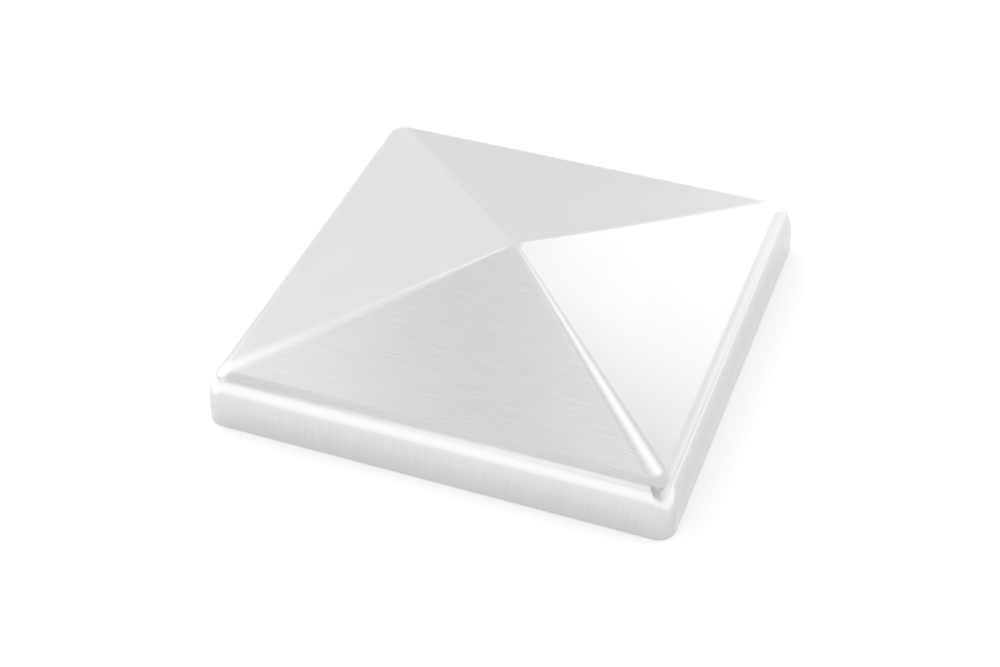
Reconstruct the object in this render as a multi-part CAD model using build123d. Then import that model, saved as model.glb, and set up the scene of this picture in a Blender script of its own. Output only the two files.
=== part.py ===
from build123d import *
import math
import os

# A pyramid post cap drawn from one sheet of stainless steel.
# Millimetres, +Z up, origin at the middle of the open underside, where the skirt's edge rests.
# The front side faces -Y. An angle of the section is the surface's tilt: 0 upright, 90 level.

# Sheet and skirt
sheet = 1.0
side = 93.0
corner_radius = 3.5
skirt_edge_ease = 0.2

# Rim: the wall leans in on a large radius, then turns over a tight bend
rim_height = 11.5
lean_radius = 16.2
lean_angle = 23.5
rim_radius = 2.0
rim_corner_radius = 2.0

# Hollow: each face flattens softly towards the rim
hollow_slope = 3.0
hollow_radius = 25.0

# Pyramid: four flat faces, hips that are wide at the foot and crisp at the top, and a small dome
face_slope = 13.8
hip_foot_radius = 3.4
hip_top_radius = 0.9
dome_radius = 5.0
dome_half = 1.8
dome_corner_radius = 0.5

# Fullness of a round corner: how far a quarter circle bulges from its chord towards the sharp corner
round_fullness = math.sqrt(2) - 1

# Level lines that each bend is drawn through, and steps round a level line's corner
lean_steps = 3
rim_steps = 6
hollow_steps = 5
dome_steps = 3
corner_steps = 4


def along(first, last, share):
    """The value at this share of the way from first to last."""
    return first + (last - first) * share


def eased(first, last, share):
    """The same with a gentle start and end, so that stretches meet without a crease."""
    return along(first, last, share * share * (3 - 2 * share))


def bend(start, radius, last_angle, steps):
    """Arc of the section from start, as (inset, height, angle) points. A hollow bend's radius is negative."""
    inset, height, first_angle = start
    points = []
    for step in range(steps + 1):
        angle = along(first_angle, last_angle, step / steps)
        turned_in = math.cos(math.radians(first_angle)) - math.cos(math.radians(angle))
        turned_up = math.sin(math.radians(angle)) - math.sin(math.radians(first_angle))
        points.append((inset + radius * turned_in, height + radius * turned_up, angle))
    return points


def corner_point(half, radius, fullness, share):
    """Point in plan, this share of the way round a level line's corner: a conic that touches both sides."""
    pull = 2 * share * (1 - share) * fullness / (1 - fullness)
    total = (1 - share) ** 2 + pull + share ** 2
    return half - radius * share ** 2 / total, half - radius * (1 - share) ** 2 / total


def level(point, radius, depth, fullness=round_fullness):
    """Side line and corner of the level line through this point of the section, on the skin at this depth."""
    inset, height, angle = point
    half = side / 2 - inset - depth * math.cos(math.radians(angle))
    height = height - depth * math.sin(math.radians(angle))
    radius = radius - depth * math.cos(math.radians(angle))
    side_line = Edge.make_line((half, radius - half, height), (half, half - radius, height))
    points = []
    for step in range(corner_steps + 1):
        points.append((*corner_point(half, radius, fullness, step / corner_steps), height))
    corner = Edge.make_spline(points, tangents=[(0, 1, 0), (-1, 0, 0)])
    return side_line, corner


def hip(foot, top, depth):
    """A hip's rounding: the stretch, from foot to top, of a cone that touches both faces at this depth."""
    low_half, high_half = side / 2 - foot[0], side / 2 - top[0]
    low_end = Vector(low_half, low_half - hip_foot_radius, foot[1])
    high_end = Vector(high_half, high_half - hip_top_radius, top[1])
    # The lines where it touches the two faces meet in its point, over the pyramid's diagonal
    touch = (low_end - high_end).normalized()
    point = high_end - touch * (hip_top_radius / (touch.X - touch.Y))
    # Its axis lies under the diagonal
    face_normal = Vector(math.sin(math.radians(face_slope)), 0, math.cos(math.radians(face_slope)))
    half_angle = math.atan2(touch.X - touch.Y, face_normal.X)
    axis = touch * math.cos(half_angle) - face_normal * math.sin(half_angle)
    point = point + axis * (depth / math.sin(half_angle))
    reach = 2 * (low_end - high_end).length
    base = Plane(origin=point + axis * (reach * math.cos(half_angle)), z_dir=axis * -1)
    cone = Solid.make_cone(reach * math.sin(half_angle), 0, reach * math.cos(half_angle), base)
    # Trim it to the two lines and to the levels of foot and top
    far = point + touch * reach
    between = extrude(make_face(Polyline((point.X, point.Y), (far.X, far.Y), (far.Y, far.X), close=True)), side)
    sunk = depth * math.sin(math.radians(foot[2]))
    levels = Pos(0, 0, (foot[1] + top[1]) / 2 - sunk) * Box(2 * side, 2 * side, top[1] - foot[1])
    return (cone & between & levels).faces().filter_by(GeomType.CONE).sort_by(Axis.X)[-1]


def flats(levels):
    """The flat sides between level lines, where the section is straight."""
    sides = []
    for (lower, _), (upper, _) in zip(levels, levels[1:]):
        sides.append(Face(Wire.make_polygon([lower @ 0, lower @ 1, upper @ 1, upper @ 0])))
    return sides


def curved(levels):
    """Side and corner where the section bends: one smooth surface through all the level lines."""
    return Shell.make_loft([Wire(edges) for edges in levels]).faces()


def all_round(shape):
    """A quarter's face or edge, turned to all four sides."""
    return [Rot(0, 0, 90 * turn) * shape for turn in range(4)]


def closed(edges):
    """The whole level line from its side line and corner."""
    return Wire([turned for edge in edges for turned in all_round(edge)])


def skin(depth):
    """The faces of the skin at this depth, with its lowest and highest level line. Depth 0 is the outside."""
    # Section: lean, rim, hollow, then the straight face up to the dome
    bend_height = rim_height - rim_radius * (1 - math.sin(math.radians(lean_angle)))
    lean_height = bend_height - lean_radius * math.sin(math.radians(lean_angle))
    lean = bend((0, lean_height, 0), lean_radius, lean_angle, lean_steps)
    rim = bend(lean[-1], rim_radius, 90 - hollow_slope, rim_steps)
    hollow = bend(rim[-1], -hollow_radius, 90 - face_slope, hollow_steps)
    foot = hollow[-1]
    face_run = side / 2 - dome_half - foot[0]
    top = (side / 2 - dome_half, foot[1] + face_run * math.tan(math.radians(face_slope)), foot[2])
    dome = bend(top, dome_radius, 90, dome_steps)

    # Upright wall, with its lower edge eased
    ease = skirt_edge_ease if depth == 0 else -skirt_edge_ease
    wall_points = [(ease, 0, 0), (0, skirt_edge_ease, 0), lean[0]]
    wall = [level(point, corner_radius - point[0], depth) for point in wall_points]
    corners = Shell.make_loft([Wire([corner]) for _, corner in wall], ruled=True).faces()
    quarter = flats(wall) + corners

    # Lean and rim: the corner grows tighter towards the crest
    radii = [eased(corner_radius, rim_corner_radius, point[0] / rim[-1][0]) for point in lean + rim]
    quarter += curved([level(point, radius, depth) for point, radius in zip(lean, radii)])
    quarter += curved([level(point, radius, depth) for point, radius in zip(rim, radii[len(lean):])])

    # Hollow: its corner opens out to the hip's rounding
    hip_face = hip(foot, top, depth)
    hip_foot, hip_top = hip_face.edges().filter_by(GeomType.ELLIPSE).sort_by(Axis.Z)
    foot_level = (level(foot, hip_foot_radius, depth)[0], hip_foot)
    top_level = (level(top, hip_top_radius, depth)[0], hip_top)
    side_end = foot_level[0] @ 1
    hip_middle = hip_foot @ 0.5
    hip_fullness = 1 - 2 * (side_end.X - hip_middle.X) / (side_end.X - side_end.Y)
    hollow_levels = []
    for step, point in enumerate(hollow[:-1]):
        share = step / hollow_steps
        radius = eased(rim_corner_radius, hip_foot_radius, share)
        hollow_levels.append(level(point, radius, depth, eased(round_fullness, hip_fullness, share)))
    quarter += curved(hollow_levels + [foot_level])

    # Face, hip and dome
    quarter += flats([foot_level, top_level]) + [hip_face]
    dome_levels = [top_level]
    for step, point in enumerate(dome[1:], start=1):
        share = step / dome_steps
        radius = eased(hip_top_radius, dome_corner_radius, share)
        dome_levels.append(level(point, radius, depth, eased(hip_fullness, round_fullness, share)))
    quarter += curved(dome_levels)
    return [turned for face in quarter for turned in all_round(face)], closed(wall[0]), closed(dome_levels[-1])


outer_faces, outer_edge, outer_top = skin(0)
inner_faces, inner_edge, inner_top = skin(sheet)
skirt_edge = Face(outer_edge, [inner_edge])
shell = Shell(outer_faces + inner_faces + [Face(outer_top), Face(inner_top), skirt_edge])
post_cap = Solid(shell).fix()
print("post cap", post_cap.is_valid, round(post_cap.volume, 1), post_cap.bounding_box())

os.makedirs("parts", exist_ok=True)
export_step(post_cap, "parts/post_cap.step")
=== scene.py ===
# %% [markdown]
# A brushed stainless steel post cap
#
# The object is a cap that slips over the end of a square post. It is drawn from one sheet of
# steel: a short skirt, a rim that rolls over, and a low pyramid with four soft hips.
# The CAD model gives its form and size. This script gives it its steel, a plain studio to reflect,
# and the photograph's camera. Everything is in metres, in the CAD model's own frame: Z is up, and
# the front side faces -Y.

# %% The CAD model as a fixed frame
import math

import bmesh
import bpy
from mathutils import Matrix, Vector


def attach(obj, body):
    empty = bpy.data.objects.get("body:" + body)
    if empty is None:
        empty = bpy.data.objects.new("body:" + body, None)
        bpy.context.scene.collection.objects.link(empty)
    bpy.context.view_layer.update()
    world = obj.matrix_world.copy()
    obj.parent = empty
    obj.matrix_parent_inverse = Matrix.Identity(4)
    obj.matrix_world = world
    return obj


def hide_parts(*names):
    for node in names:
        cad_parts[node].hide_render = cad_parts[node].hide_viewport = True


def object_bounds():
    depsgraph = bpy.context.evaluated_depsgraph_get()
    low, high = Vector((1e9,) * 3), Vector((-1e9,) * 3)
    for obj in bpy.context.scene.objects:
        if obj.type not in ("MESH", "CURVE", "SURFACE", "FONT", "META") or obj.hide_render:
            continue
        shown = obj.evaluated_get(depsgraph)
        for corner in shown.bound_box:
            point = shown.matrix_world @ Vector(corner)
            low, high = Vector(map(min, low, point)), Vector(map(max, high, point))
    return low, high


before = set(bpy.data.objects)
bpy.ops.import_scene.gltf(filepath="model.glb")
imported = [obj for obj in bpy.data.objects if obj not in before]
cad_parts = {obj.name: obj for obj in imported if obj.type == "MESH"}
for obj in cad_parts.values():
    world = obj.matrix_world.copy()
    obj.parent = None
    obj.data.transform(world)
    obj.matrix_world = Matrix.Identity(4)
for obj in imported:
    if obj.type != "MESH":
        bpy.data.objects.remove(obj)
cad_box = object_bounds()
low, high = cad_box
half_side = (high[0] - low[0]) / 2
cap_height = high[2] - low[2]
mm = 0.001
print("cap", round(2 * half_side / mm, 2), "mm wide,", round(cap_height / mm, 2), "mm high")

# %% [markdown]
# The camera comes first, because every later choice is judged through it. A low pyramid looks
# much flatter or steeper with a small change of height, so the place and the turn are the ones
# that a fit of the cap's outline to the photograph gives: a 65 mm lens, about 41 degrees down,
# turned about 20 degrees to the right of the front side.

# %% Camera at the photograph's viewing angle
camera_place = Vector((96.2, -262.4, 240.4)) * mm
camera_turn = [math.radians(angle) for angle in (49.11, 0.447, 20.395)]
focal_length = 65.16

camera_data = bpy.data.cameras.new("camera")
camera_data.lens = focal_length
camera_data.sensor_width = 36.0
camera_data.clip_start = 0.01
camera = bpy.data.objects.new("camera", camera_data)
camera.location = camera_place
camera.rotation_euler = camera_turn
bpy.context.scene.collection.objects.link(camera)
bpy.context.scene.camera = camera
print("camera", round(camera_place.length, 3), "m from the cap's foot")

# %% [markdown]
# Steel mirrors its surroundings, so every bend has to be smoother than the CAD model's triangles
# make it. The cap is drawn again from its own section, as a stack of level lines. A level line is
# a rounded square at one height. The section says how far in from the side it lies, how high, and
# how far the surface leans there. This way was chosen over smoothing the CAD mesh because each
# level line can be placed exactly where the real sheet bends. Inside the rim the CAD model has a
# soft hollow. A mirror shows it as a hard line all round, which the real cap doesn't have, so here
# a shoulder, a wider bend, runs out into the face. It lies up to 0.8 mm from the CAD surface.

# %% The section's sizes
sheet = 1.0 * mm
corner_radius = 3.5 * mm
skirt_edge_ease = 0.2 * mm
rim_height, lean_radius, rim_radius, shoulder_radius = 11.5 * mm, 16.2 * mm, 2.0 * mm, 6.0 * mm
lean_angle, rim_angle, face_slope = (math.radians(angle) for angle in (23.5, 60.0, 12.9))
rim_corner_radius = 3.2 * mm
hip_foot_radius, hip_top_radius = 3.4 * mm, 0.9 * mm
dome_radius, dome_half, dome_corner_radius = 5.0 * mm, 1.8 * mm, 0.5 * mm
edge_steps, lean_steps, rim_steps, shoulder_steps, hip_steps, dome_steps = 4, 20, 20, 16, 20, 10
level_angle = math.pi / 2
round_fullness = math.sqrt(2) - 1
print("sheet", round(sheet / mm, 2), "mm thick, crest", round(rim_height / mm, 2), "mm up")


def along(first, last, share):
    """The value at this share of the way from first to last."""
    return first + (last - first) * share


def eased(first, last, share):
    """The same with a gentle start and end."""
    return along(first, last, share * share * (3 - 2 * share))


def bend(start, radius, last_angle, steps):
    """An arc of the section as (inset, height, angle) points. Angle 0 is upright, a quarter turn is level."""
    inset, height, first_angle = start
    points = []
    for step in range(steps + 1):
        angle = along(first_angle, last_angle, step / steps)
        turned_in = math.cos(first_angle) - math.cos(angle)
        turned_up = math.sin(angle) - math.sin(first_angle)
        points.append((inset + radius * turned_in, height + radius * turned_up, angle))
    return points


# %% [markdown]
# A hip is the soft ridge between two faces of the pyramid. It is wide at the foot and crisp near
# the tip, like a slice of a long slim cone. The cone touches both faces, so its place follows from
# the faces' slope and the two radii. All that the level lines need from it is how full their
# corners are: a cone that lies almost flat cuts a level plane in a longer, fuller curve than a circle.

# %% How full the corners are over a hip
bend_height = rim_height - rim_radius * (1 - math.sin(lean_angle))
lean_start = (0, bend_height - lean_radius * math.sin(lean_angle), 0)
lean = bend(lean_start, lean_radius, lean_angle, lean_steps)
rim = bend(lean[-1], rim_radius, rim_angle, rim_steps)
shoulder = bend(rim[-1], shoulder_radius, level_angle - face_slope, shoulder_steps)
foot = shoulder[-1]
face_run = half_side - dome_half - foot[0]
top = (half_side - dome_half, foot[1] + face_run * math.tan(face_slope), foot[2])
dome = bend(top, dome_radius, level_angle, dome_steps)

low_end = Vector((half_side - foot[0], half_side - foot[0] - hip_foot_radius, foot[1]))
high_end = Vector((dome_half, dome_half - hip_top_radius, top[1]))
touch = (low_end - high_end).normalized()
face_normal = Vector((math.sin(face_slope), 0, math.cos(face_slope)))
cone_angle = math.atan2(touch.x - touch.y, face_normal.x)
axis = touch * math.cos(cone_angle) - face_normal * math.sin(cone_angle)
upwards = Vector((-axis.z / math.sqrt(2), -axis.z / math.sqrt(2), math.hypot(axis.x, axis.y)))
ridge = axis * math.cos(cone_angle) + upwards * math.sin(cone_angle)
cone_point = high_end - touch * (hip_top_radius / (touch.x - touch.y))
ridge_foot = cone_point + ridge * ((foot[1] - cone_point.z) / ridge.z)
hip_fullness = 1 - 2 * (low_end.x - ridge_foot.x) / hip_foot_radius
print("hip", round(math.degrees(cone_angle), 1), "degree cone, fullness", round(hip_fullness, 3))

# %% [markdown]
# Each level line now gets its corner radius. Over the lean and the rim the corner tightens a
# little, over the shoulder it opens again to the hip's foot, and up the hip it tightens to the
# dome. The changes start and end gently, so no crease shows in a reflection.

# %% Every level line of the section
lower_edge = bend((skirt_edge_ease, 0, -level_angle), skirt_edge_ease, 0, edge_steps)
levels = [(*point, corner_radius, round_fullness) for point in lower_edge]
for point in lean + rim[1:]:
    radius = eased(corner_radius, rim_corner_radius, point[0] / rim[-1][0])
    levels.append((*point, radius, round_fullness))
for step, point in enumerate(shoulder[1:], start=1):
    share = step / shoulder_steps
    radius = eased(rim_corner_radius, hip_foot_radius, share)
    levels.append((*point, radius, eased(round_fullness, hip_fullness, share)))
for step in range(1, hip_steps + 1):
    share = step / hip_steps
    point = (along(foot[0], top[0], share), along(foot[1], top[1], share), top[2])
    levels.append((*point, along(hip_foot_radius, hip_top_radius, share), hip_fullness))
for step, point in enumerate(dome[1:], start=1):
    share = step / dome_steps
    radius = eased(hip_top_radius, dome_corner_radius, share)
    levels.append((*point, radius, eased(hip_fullness, round_fullness, share)))
print("section", len(levels), "levels, top at", round(levels[-1][1] / mm, 2), "mm")

# %% [markdown]
# One ring of points is made for each level line: a quarter is a straight side and a corner, turned
# four times. The inside follows at the sheet's thickness, measured square to the surface, as in a
# drawn sheet. Rings are joined with four-sided faces, and the two skins meet in the skirt's edge.

# %% The sheet's two skins
side_steps = 8
corner_steps = 14
least_corner_radius = 0.05 * mm


def ring(level, depth):
    """The points of one level line on the skin at this depth."""
    inset, height, angle, radius, fullness = level
    half = half_side - inset - depth * math.cos(angle)
    radius = max(radius - depth * math.cos(angle), least_corner_radius)
    quarter = []
    for step in range(side_steps):
        quarter.append(Vector((half, along(radius - half, half - radius, step / side_steps))))
    for step in range(corner_steps):
        share = step / corner_steps
        pull = 2 * share * (1 - share) * fullness / (1 - fullness)
        total = (1 - share) ** 2 + pull + share ** 2
        quarter.append(Vector((half - radius * share ** 2 / total, half - radius * (1 - share) ** 2 / total)))
    points = []
    for turn in range(4):
        points += [(Matrix.Rotation(turn * level_angle, 2) @ point).to_3d() for point in quarter]
    for point in points:
        point.z = height - depth * math.sin(angle)
    return points


print("ring", len(ring(levels[0], 0)), "points")

# %% [markdown]
# The rings become one closed mesh. The outside starts at the skirt's lower edge and ends in a small
# flat tip, the inside the same one sheet lower. The inside's faces are wound the other way, so that
# they too look away from the steel.

# %% The skins joined into one mesh
mesh = bmesh.new()
outside = [[mesh.verts.new(point) for point in ring(level, 0)] for level in levels]
inside_levels = [(0, 0, 0, corner_radius, round_fullness)] + [level for level in levels if level[2] >= 0]
inside = [[mesh.verts.new(point) for point in ring(level, sheet)] for level in inside_levels]
for rings, flip in ((outside, False), (inside, True), ([outside[0], inside[0]], True)):
    for lower, upper in zip(rings, rings[1:]):
        for first in range(len(lower)):
            second = (first + 1) % len(lower)
            corners = [lower[first], lower[second], upper[second], upper[first]]
            mesh.faces.new(corners[::-1] if flip else corners)
mesh.faces.new(outside[-1])
mesh.faces.new(inside[-1][::-1])
cap_mesh = bpy.data.meshes.new("cap")
mesh.to_mesh(cap_mesh)
mesh.free()
print("cap", len(cap_mesh.polygons), "faces")

# %% [markdown]
# Smooth shading blends the direction of neighbouring faces. The large flat faces would then look
# bulged where they meet a bend, so the modifier lets the larger face lead. The mesh takes the place
# of the CAD cap and rides on the same body.

# %% The cap in place of the CAD cap
cap_mesh.shade_smooth()
cap = bpy.data.objects.new("cap", cap_mesh)
bpy.context.scene.collection.objects.link(cap)
flat_first = cap.modifiers.new("flat_faces_lead", "WEIGHTED_NORMAL")
flat_first.weight = 100
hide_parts("post_cap")
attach(cap, "root")
print("cap", round(max(cap.dimensions) / mm, 2), "mm wide")

# %% [markdown]
# Materials and studio are both built from small nodes, so a few helpers keep the recipes short.
# `number` joins up a sum, `soft_step` rises smoothly between two values, `between` marks a range
# and `mixed` blends two numbers. They work in the trees of the steel, the floor and the world alike.

# %% Helpers for node recipes
class Recipe:
    """Adds nodes to one node tree and joins them up."""

    def __init__(self, tree):
        self.tree = tree

    def node(self, kind, **settings):
        """A new node of this kind."""
        made = self.tree.nodes.new(kind)
        for name, value in settings.items():
            setattr(made, name, value)
        return made

    def feed(self, socket, value):
        """Gives a socket a number, or the result of another node."""
        if isinstance(value, bpy.types.NodeSocket):
            self.tree.links.new(value, socket)
        else:
            socket.default_value = value

    def number(self, operation, *values):
        """The result of a sum."""
        made = self.node("ShaderNodeMath", operation=operation)
        for socket, value in zip(made.inputs, values):
            self.feed(socket, value)
        return made.outputs[0]

    def soft_step(self, value, start, end, lowest=0.0, highest=1.0):
        """Rises smoothly from lowest to highest while the value goes from start to end."""
        made = self.node("ShaderNodeMapRange", interpolation_type="SMOOTHSTEP")
        for socket, item in zip(made.inputs, (value, start, end, lowest, highest)):
            self.feed(socket, item)
        return made.outputs[0]

    def mixed(self, share, first, second):
        """A blend: first where the share is 0, second where it is 1."""
        made = self.node("ShaderNodeMix", data_type="FLOAT")
        for socket, value in zip(made.inputs[:1] + made.inputs[2:4], (share, first, second)):
            self.feed(socket, value)
        return made.outputs[0]

    def between(self, value, start, end, soft):
        """1 between start and end, 0 outside, with soft edges."""
        after = self.soft_step(value, start - soft, start + soft)
        before = self.soft_step(value, end - soft, end + soft, 1.0, 0.0)
        return self.number("MULTIPLY", after, before)

    def opposite(self, share):
        """1 less the share."""
        return self.number("SUBTRACT", 1.0, share)

    def split(self, vector):
        """The three parts of a direction or place."""
        made = self.node("ShaderNodeSeparateXYZ")
        self.feed(made.inputs[0], vector)
        return made.outputs


print("helpers", [name for name in vars(Recipe) if not name.startswith("_")])

# %% [markdown]
# The real cap is ground with a belt: fine scratches run along each side of the pyramid, and the
# skirt is ground upright. Such scratches spread a reflection across their own direction. The finish
# is therefore a metal with an uneven mirror, and streaks of noise that are long one way and narrow
# the other. It was chosen over an image, because noise has no edges and fits every side.

# %% Brushed steel: which way the grain runs
steel = bpy.data.materials.new("brushed_steel")
steel.use_nodes = True
recipe = Recipe(steel.node_tree)
shader = steel.node_tree.nodes["Principled BSDF"]
shader.inputs["Metallic"].default_value = 1.0
shader.inputs["Anisotropic"].default_value = 0.45

coordinates = recipe.node("ShaderNodeTexCoord")
x, y, z = recipe.split(coordinates.outputs["Object"])
_, _, facing_up = recipe.split(coordinates.outputs["Normal"])
side_face = recipe.number("GREATER_THAN", recipe.number("ABSOLUTE", x), recipe.number("ABSOLUTE", y))
front_face = recipe.opposite(side_face)
skirt_end, face_start = 0.35, 0.6
skirt = recipe.soft_step(facing_up, skirt_end, face_start, 1.0, 0.0)
along_edge = recipe.mixed(side_face, x, y)
from_edge = recipe.mixed(side_face, y, x)
print("steel stretches its reflection by", round(shader.inputs["Anisotropic"].default_value, 2))

# %% [markdown]
# Two sizes of scratch lie over each other on the faces, and one upright size on the skirt. Broad
# clouds stand for the belt's uneven pressure. The front side is ground most roughly, so its streaks
# get more contrast.

# %% Brushed steel: the streaks


def grain(along_line, across_line, length, width, seed, detail=2.0):
    """Streaks of this length and width in metres, as a number from about 0 to 1."""
    place = recipe.node("ShaderNodeCombineXYZ")
    recipe.feed(place.inputs[0], recipe.number("MULTIPLY", along_line, 1 / length))
    recipe.feed(place.inputs[1], recipe.number("MULTIPLY", across_line, 1 / width))
    recipe.feed(place.inputs[2], recipe.number("ADD", recipe.number("MULTIPLY", side_face, 7.0), seed))
    noise = recipe.node("ShaderNodeTexNoise")
    recipe.feed(noise.inputs["Vector"], place.outputs[0])
    noise.inputs["Scale"].default_value = 1.0
    noise.inputs["Detail"].default_value = detail
    return noise.outputs["Fac"]


face_grain = grain(along_edge, from_edge, 9 * mm, 0.32 * mm, 1.0)
fine_grain = grain(along_edge, from_edge, 3.5 * mm, 0.16 * mm, 3.0)
skirt_grain = grain(z, along_edge, 9 * mm, 0.3 * mm, 5.0)
clouds = grain(along_edge, from_edge, 16 * mm, 9 * mm, 9.0, 3.0)
streaks = recipe.mixed(skirt, recipe.mixed(0.5, face_grain, fine_grain), skirt_grain)
rough_side = recipe.number("MULTIPLY", recipe.soft_step(y, -12 * mm, 0.0, 1.0, 0.0), front_face)
rough_side = recipe.number("MULTIPLY", rough_side, recipe.opposite(skirt))
print("steel", len(steel.node_tree.nodes), "nodes for the grain")

# %% [markdown]
# The streaks change the steel in three small ways, as scratches do: how light it is, how sharply it
# mirrors and how the light breaks on it. The mirror is stretched across the grain, so the tangent
# turns with the grain's direction.

# %% Brushed steel: tone, roughness and relief
steel_tone, cloud_contrast = 0.64, 0.03
face_contrast, front_extra, skirt_extra = 0.045, 0.12, 0.05
smoothest, streak_roughness = 0.16, 0.08
contrast = recipe.number("MULTIPLY_ADD", rough_side, front_extra, face_contrast)
contrast = recipe.number("MULTIPLY_ADD", skirt, skirt_extra, contrast)
tone = recipe.number("MULTIPLY_ADD", recipe.number("SUBTRACT", streaks, 0.5), contrast, steel_tone)
tone = recipe.number("MULTIPLY_ADD", recipe.number("SUBTRACT", clouds, 0.5), cloud_contrast, tone)
grey = recipe.node("ShaderNodeCombineColor")
for socket in grey.inputs:
    recipe.feed(socket, tone)
recipe.feed(shader.inputs["Base Color"], grey.outputs[0])
recipe.feed(shader.inputs["Roughness"], recipe.number("MULTIPLY_ADD", streaks, streak_roughness, smoothest))
bump = recipe.node("ShaderNodeBump")
bump.inputs["Strength"].default_value = 0.06
bump.inputs["Distance"].default_value = 0.01 * mm
recipe.feed(bump.inputs["Height"], streaks)
recipe.feed(shader.inputs["Normal"], bump.outputs[0])
across = recipe.node("ShaderNodeCombineXYZ")
recipe.feed(across.inputs[0], recipe.mixed(skirt, side_face, front_face))
recipe.feed(across.inputs[1], recipe.mixed(skirt, front_face, side_face))
recipe.feed(shader.inputs["Tangent"], across.outputs[0])
cap_mesh.materials.append(steel)
print("steel", len(steel.node_tree.nodes), "nodes in all")

# %% [markdown]
# The cap stands on a white table, a wide plane.

# %% The floor
floor_size = 6.0
bpy.ops.mesh.primitive_plane_add(size=floor_size, location=(0, 0, 0))
floor = bpy.context.object
floor.name = "floor"
pale = bpy.data.materials.new("pale_floor")
pale.use_nodes = True
recipe = Recipe(pale.node_tree)
floor_shader = pale.node_tree.nodes["Principled BSDF"]
floor_shader.inputs["Base Color"].default_value = (0.9, 0.9, 0.9, 1.0)
floor_shader.inputs["Roughness"].default_value = 0.9
floor_shader.inputs["Emission Color"].default_value = (1.0, 1.0, 1.0, 1.0)
floor.data.materials.append(pale)
print("floor", floor_size, "m wide")

# %% [markdown]
# The skirt mirrors the table next to it, and its lower part is darker than the rim above. So the
# plane glows a little: that keeps it white for the camera and leaves the cap's soft shadow. Close
# round the cap it glows less, as in a product tent whose bright walls start some way off.

# %% The floor's glow
place_x, place_y, _ = recipe.split(recipe.node("ShaderNodeTexCoord").outputs["Object"])
dim_left, dim_right, dim_front, dim_back, dim_soft = -0.062, 0.066, -0.082, 0.2, 0.0025
near_cap = recipe.number("MULTIPLY", recipe.between(place_x, dim_left, dim_right, dim_soft),
                         recipe.between(place_y, dim_front, dim_back, dim_soft))
front_glow, right_glow, further_glow = 0.2, 0.12, 0.33
near_glow = recipe.soft_step(place_x, 0.044, 0.05, front_glow, right_glow)
light_path = recipe.node("ShaderNodeLightPath")
seen = recipe.number("MAXIMUM", light_path.outputs["Is Camera Ray"], light_path.outputs["Is Glossy Ray"])
seen = recipe.number("MAXIMUM", seen, light_path.outputs["Is Transmission Ray"])
glow = recipe.number("MULTIPLY_ADD", recipe.opposite(near_cap), further_glow, near_glow)
glow = recipe.number("MULTIPLY", glow, seen)
recipe.feed(floor_shader.inputs["Emission Strength"], glow)
print("floor glows", front_glow, "near the cap and", round(front_glow + further_glow, 2), "further off")

# %% [markdown]
# Everything bright or dark on polished steel is the room it stands in. A place in that room is
# given by two angles. `round_about` is 0 behind the cap, 90 to its right and 180 in front of it.
# `rise` is 0 at the horizon and 90 straight up.

# %% Directions in the studio
world = bpy.data.worlds.new("studio")
world.use_nodes = True
recipe = Recipe(world.node_tree)
background = world.node_tree.nodes["Background"]
look_x, look_y, look_z = recipe.split(recipe.node("ShaderNodeTexCoord").outputs["Generated"])
round_about = recipe.number("DEGREES", recipe.number("ARCTAN2", look_x, look_y))
round_about = recipe.number("WRAP", round_about, 260.0, -100.0)
rise = recipe.number("DEGREES", recipe.number("ARCSINE", look_z))
in_front = recipe.soft_step(look_y, -0.12, 0.02, 1.0, 0.0)
print("studio", len(world.node_tree.nodes), "nodes for its directions")

# %% [markdown]
# The photograph's room was read backwards: for each tone on the cap, the direction in which the
# steel looks from there was worked out, and a soft panel was hung in that direction. On the front
# side the panels are measured by their sideways direction, because a rim that runs sideways keeps
# that direction in its mirror image all the way round its bend. Colours stay close to white, with a
# slightly warm ceiling and a slightly cool back wall. The photograph has a small dark spot at the
# front corner and one at the left. At the front one a smooth bend mirrors the camera, so both are
# taken as reflections, and the darker panels in front stand for what they mirror.

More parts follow.
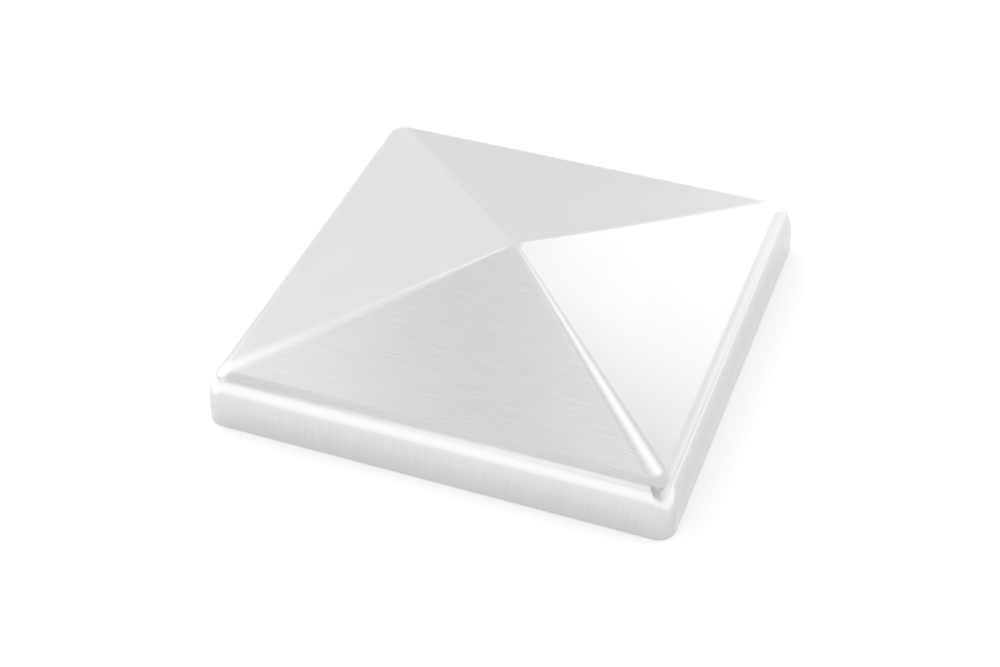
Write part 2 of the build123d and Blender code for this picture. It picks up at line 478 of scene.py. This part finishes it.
# %% The studio's panels
# Each panel: the line it is measured on, from, to, from and to in rise, soft edges, brightness, warmth
panels = [
    (round_about, -100, 260, 52, 91, 6, 6, 1.02, 0.016),
    (round_about, -46, -6, 44, 60, 3, 4, 1.02, 0.014),
    (round_about, -64, -47, 50, 66, 3, 3, 1.27, 0.02),
    (round_about, -62, -42, 50, 60, 3, 3, 1.33, 0.02),
    (round_about, -43, -33, 58, 68, 4, 3, 0.92, 0.018),
    (round_about, -39, -32, 56, 63.5, 3, 2, 0.86, 0.016),
    (round_about, -32, -22, 56, 77, 4, 3, 1.3, 0.004),
    (round_about, -95, -47, 16, 50, 2.5, 4, 1.75, 0.008),
    (round_about, -40, -32, 36, 45, 2.5, 2, 1.6, 0.0),
    (round_about, -26, -11, -12, 15, 4, 4, 1.01, -0.01),
    (round_about, -33, -23, 7, 23, 3, 3, 1.17, -0.01),
    (round_about, -19, -8, 58, 67, 3, 3, 0.82, 0.006),
    (round_about, 2, 22, 45.5, 50.5, 4, 1.5, 0.78, 0.01),
    (round_about, -12, 15, 30, 44, 3, 1.5, 1.42, 0.0),
    (round_about, -7, 15, -5, 34, 2, 2, 1.75, 0.0),
    (round_about, 2, 15, 30, 44, 3, 1.5, 1.7, 0.006),
    (round_about, -10, 12, 51.5, 63, 3, 2, 1.75, -0.004),
    (round_about, -16, -5, 47, 56, 3, 2, 1.45, 0.0),
    (round_about, 15, 41, -40, 33, 3, 3, 1.43, -0.006),
    (round_about, 50, 112, -40, 43, 6, 6, 1.29, 0.0),
    (round_about, 209, 260, -40, 48, 2, 6, 1.27, 0.0),
    (look_x, -0.47, -0.25, -40, 40, 0.02, 9, 1.42, 0.0),
    (look_x, -0.5, -0.345, 18, 71, 0.035, 7, 0.99, 0.0),
    (look_x, 0.1, 0.5, -40, 70, 0.06, 5, 1.0, 0.0),
    (look_x, 0.2, 0.66, -8, 60, 0.06, 6, 0.8, 0.01),
    (look_x, -0.12, 0.22, -5, 76, 0.04, 6, 0.68, 0.01),
    (look_x, -0.26, -0.14, -40, 60, 0.02, 8, 1.46, 0.0),
]
print("studio", len(panels), "panels")

# %% [markdown]
# The panels are laid over an even pale room one after another, so a later one covers an earlier
# one where they cross.

# %% The panels hung in the room
brightness, warmth = 1.16, 0.0
for line, left, right, bottom, up, soft_side, soft_rise, panel_brightness, panel_warmth in panels:
    share = recipe.number("MULTIPLY", recipe.between(line, left, right, soft_side),
                          recipe.between(rise, bottom, up, soft_rise))
    if line == look_x:
        share = recipe.number("MULTIPLY", share, in_front)
    brightness = recipe.mixed(share, brightness, panel_brightness)
    warmth = recipe.mixed(share, warmth, panel_warmth)
tint = recipe.node("ShaderNodeCombineColor")
recipe.feed(tint.inputs[0], recipe.number("ADD", 1.0, warmth))
tint.inputs[1].default_value = 1.0
recipe.feed(tint.inputs[2], recipe.opposite(warmth))
recipe.feed(background.inputs["Color"], tint.outputs[0])
recipe.feed(background.inputs["Strength"], brightness)
bpy.context.scene.world = world
bpy.context.scene.view_settings.view_transform = "Standard"
print("studio", len(world.node_tree.nodes), "nodes in all")

# %% [markdown]
# The finished cap must stay inside the CAD model's box, because every other tool measures by that
# model.
